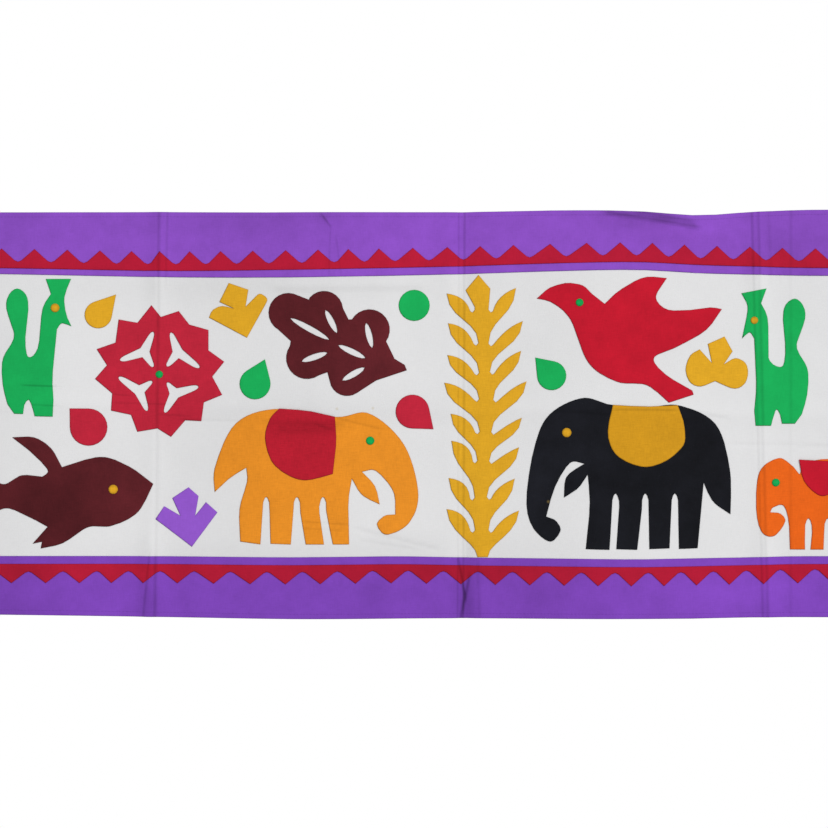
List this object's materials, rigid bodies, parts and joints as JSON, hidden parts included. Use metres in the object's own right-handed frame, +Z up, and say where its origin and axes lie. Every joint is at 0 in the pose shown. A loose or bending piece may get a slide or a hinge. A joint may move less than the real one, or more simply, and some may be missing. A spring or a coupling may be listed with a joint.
{
  "type": "applique wall hanging",
  "caption": "Long cotton wall hanging: cut-out animals, leaves and sprigs sewn to a white panel between two purple bands with sawtooth strips.",
  "frame": {"origin": "middle of the top edge, at the back of the cloth, where the hanging is held up", "axes": "+X to the viewer's right along the top edge, +Z up, the front faces -Y"},
  "size_m": [1.397, 0.0211, 0.6044],
  "materials": {
    "white_cotton": "plain woven cotton",
    "purple_cotton": "plain woven cotton",
    "red_cotton": "plain woven cotton",
    "crimson_cotton": "plain woven cotton",
    "green_cotton": "plain woven cotton",
    "mustard_cotton": "plain woven cotton",
    "amber_cotton": "plain woven cotton",
    "orange_cotton": "plain woven cotton",
    "maroon_cotton": "plain woven cotton",
    "black_cotton": "plain woven cotton"
  },
  "bodies": {
    "root": {"white_panel": "white_cotton", "top_band": "purple_cotton", "bottom_band": "purple_cotton", "top_sawtooth": "red_cotton", "bottom_sawtooth": "red_cotton", "elephant_amber": "amber_cotton", "elephant_black": "black_cotton", "elephant_orange": "orange_cotton", "saddle_amber_elephant": "crimson_cotton", "saddle_black_elephant": "mustard_cotton", "saddle_orange_elephant": "crimson_cotton", "peacock_left": "green_cotton", "peacock_right": "green_cotton", "fish": "maroon_cotton", "bird": "crimson_cotton", "lobed_leaf": "maroon_cotton", "rosette": "crimson_cotton", "fern": "mustard_cotton", "sprig_mustard_left": "mustard_cotton", "sprig_mustard_right": "mustard_cotton", "sprig_purple": "purple_cotton", "drop_mustard": "mustard_cotton", "drop_green_left": "green_cotton", "drop_green_right": "green_cotton", "drop_crimson_left": "crimson_cotton", "drop_crimson_right": "crimson_cotton", "disc_green": "green_cotton", "eye_peacock_left": "mustard_cotton", "eye_peacock_right": "mustard_cotton", "eye_fish": "mustard_cotton", "eye_bird": "green_cotton", "eye_elephant_amber": "green_cotton", "eye_elephant_black": "mustard_cotton", "eye_elephant_orange": "green_cotton", "rosette_middle": "green_cotton"}
  },
  "joints": []
}
